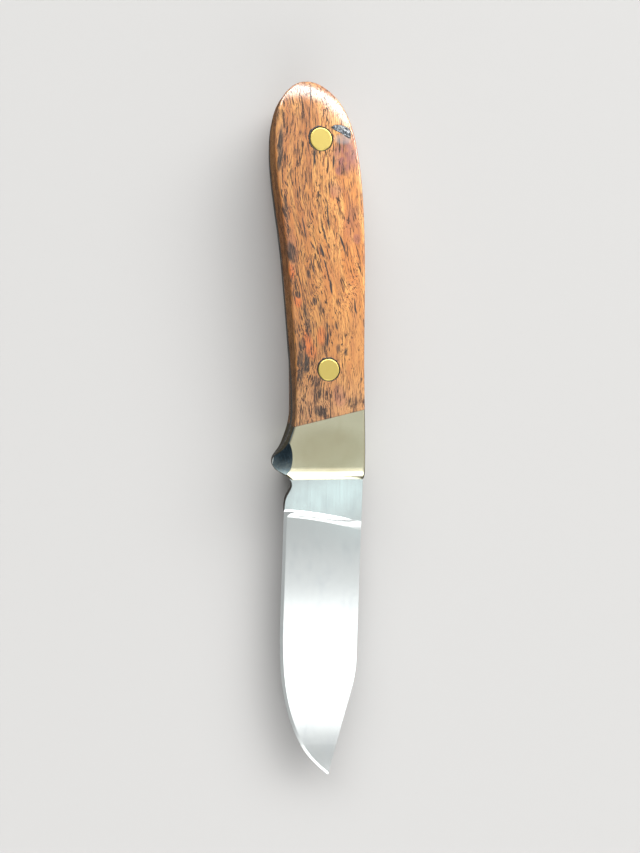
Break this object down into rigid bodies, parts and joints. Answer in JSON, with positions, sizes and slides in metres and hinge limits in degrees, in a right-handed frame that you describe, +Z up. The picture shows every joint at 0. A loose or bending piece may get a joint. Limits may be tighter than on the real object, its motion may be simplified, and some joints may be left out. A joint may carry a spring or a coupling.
{
  "type": "fixed blade utility knife",
  "caption": "Full-tang drop-point knife with a flat-ground steel blade, metal bolsters with a finger guard, and wooden scales held by brass cap bolts.",
  "frame": {"origin": "centre of the bottom of the bounding box, on the surface that the knife's left side lies on", "axes": "+X along the knife to the point, +Y towards the spine, +Z up through the right side"},
  "size_m": [0.2084, 0.029, 0.0176],
  "materials": {
    "blade_steel": "satin, with fine lines from a belt",
    "bolster_metal": "satin nickel silver with a faint warm tint",
    "scale_wood": "oiled, orange brown with dark open pores",
    "bolt_brass": "satin, ground flush",
    "knot_resin": "dark cured resin, flush with the wood"
  },
  "bodies": {
    "root": {"blade": "blade_steel", "right_bolster": "bolster_metal", "left_bolster": "bolster_metal", "upper_bolster_pin": "bolster_metal", "lower_bolster_pin": "bolster_metal", "right_scale": "scale_wood", "left_scale": "scale_wood", "knot_fill": "knot_resin", "front_bolt_stud": "bolt_brass", "front_bolt_nut": "bolt_brass", "rear_bolt_stud": "bolt_brass", "rear_bolt_nut": "bolt_brass"}
  },
  "joints": []
}
